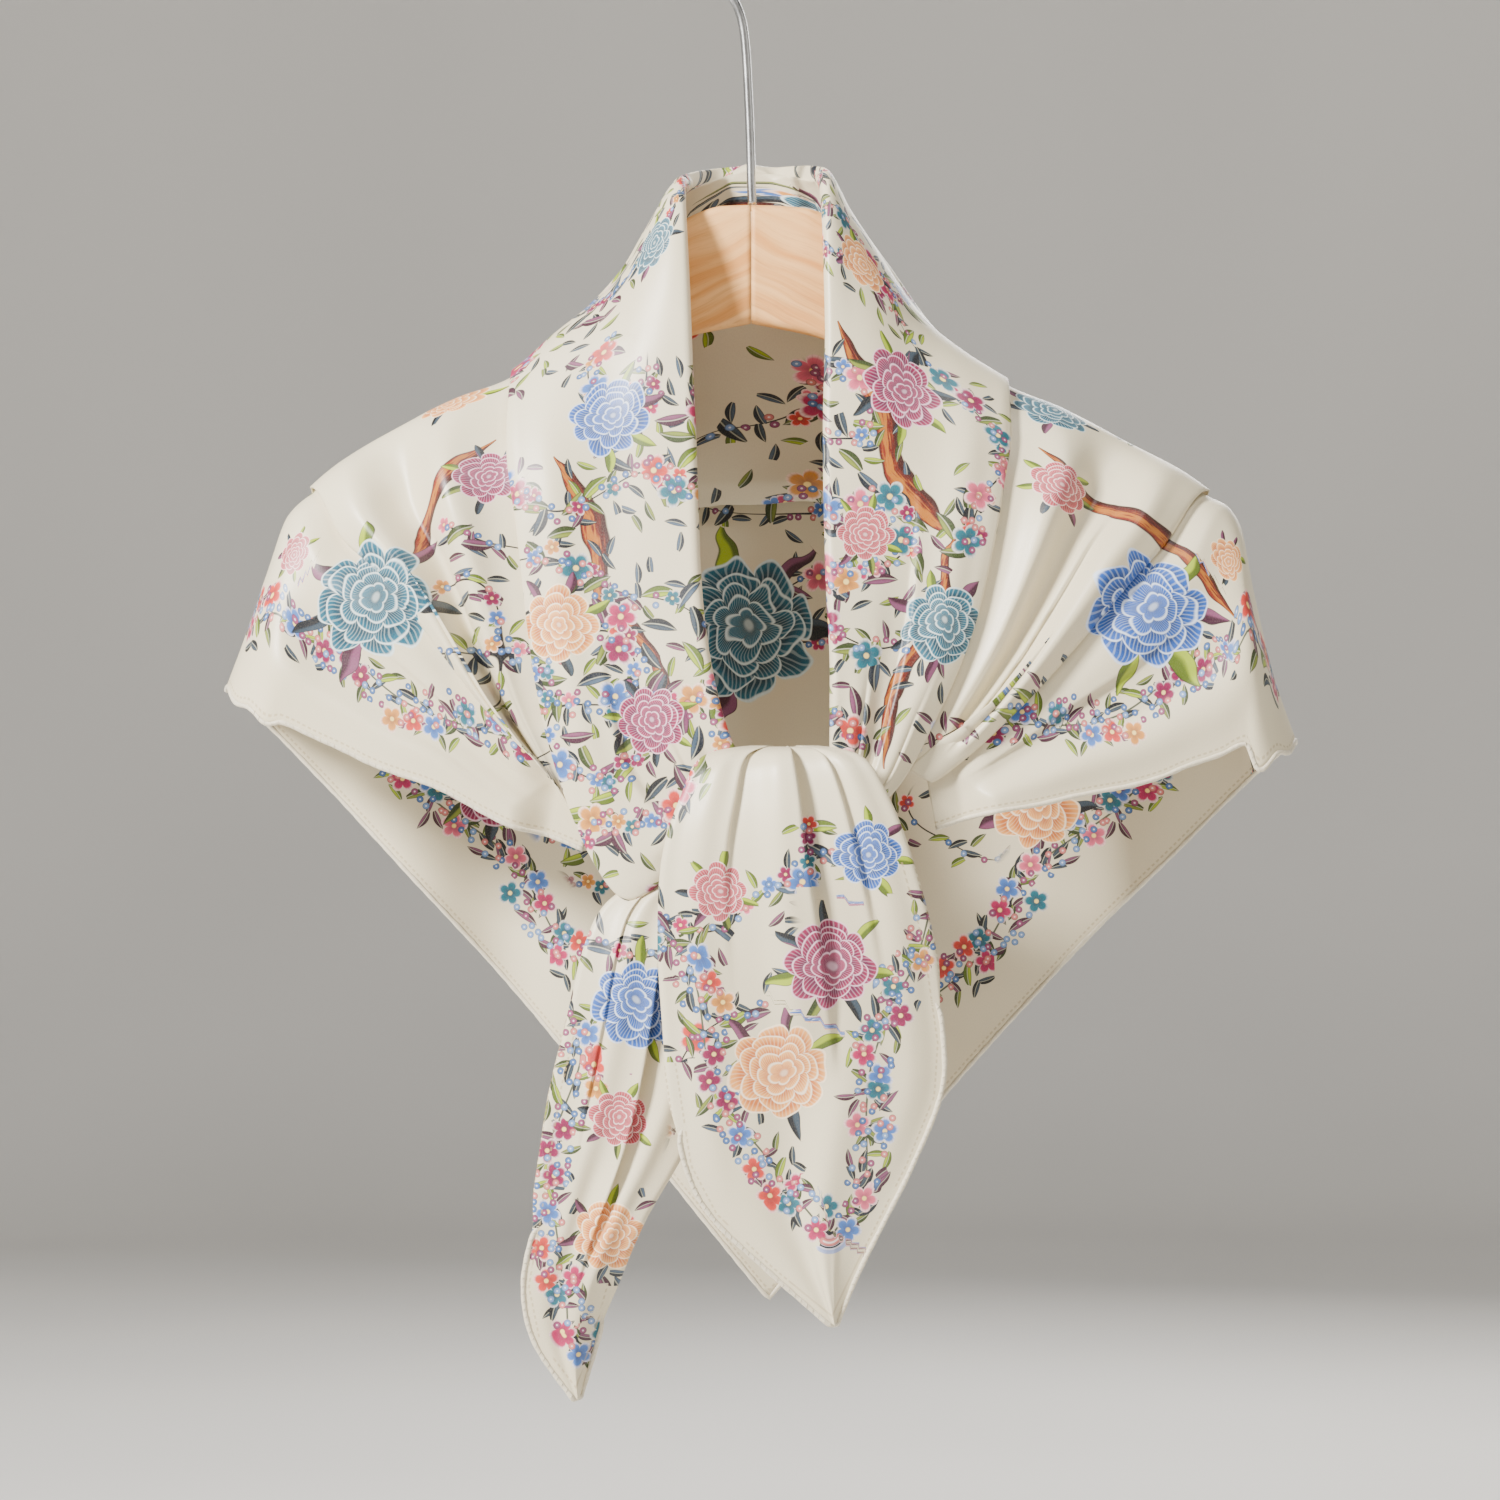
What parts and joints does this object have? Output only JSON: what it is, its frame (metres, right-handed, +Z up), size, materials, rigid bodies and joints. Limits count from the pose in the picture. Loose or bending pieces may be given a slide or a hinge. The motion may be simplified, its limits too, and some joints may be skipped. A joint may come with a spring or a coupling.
{
  "type": "silk square scarf on a wooden hanger",
  "caption": "Silk square worn as a shawl over a plain wooden hanger: a turned-over collar, pleated shoulders, a pointed back and two tails tied at the front",
  "frame": {"origin": "the inside top of the hook, where a rail carries it", "axes": "+X across the shoulders to the viewer's right, +Y to the back, +Z up, the knot faces -Y"},
  "size_m": [0.4839, 0.1416, 0.674],
  "materials": {
    "front_band_left": "silk satin with a soft sheen",
    "front_band_right": "silk satin with a soft sheen",
    "cape_upper_left": "silk satin with a soft sheen",
    "cape_upper_right": "silk satin with a soft sheen",
    "cape_lower_left": "silk satin with a soft sheen",
    "cape_lower_right": "silk satin with a soft sheen",
    "collar_back": "silk satin with a soft sheen",
    "back_panel": "silk satin with a soft sheen",
    "tail_front": "silk satin with a soft sheen",
    "tail_low": "silk satin with a soft sheen",
    "hanger_arm_left": "pale satin varnish",
    "hanger_arm_right": "pale satin varnish",
    "hook": "polished wire"
  },
  "bodies": {
    "root": {"front_band_left": "front_band_left", "front_band_right": "front_band_right", "cape_upper_left": "cape_upper_left", "cape_upper_right": "cape_upper_right", "cape_lower_left": "cape_lower_left", "cape_lower_right": "cape_lower_right", "collar_back": "collar_back", "back_panel": "back_panel", "tail_front": "tail_front", "tail_low": "tail_low", "hanger_arm_left": "hanger_arm_left", "hanger_arm_right": "hanger_arm_right", "hook": "hook"}
  },
  "joints": []
}
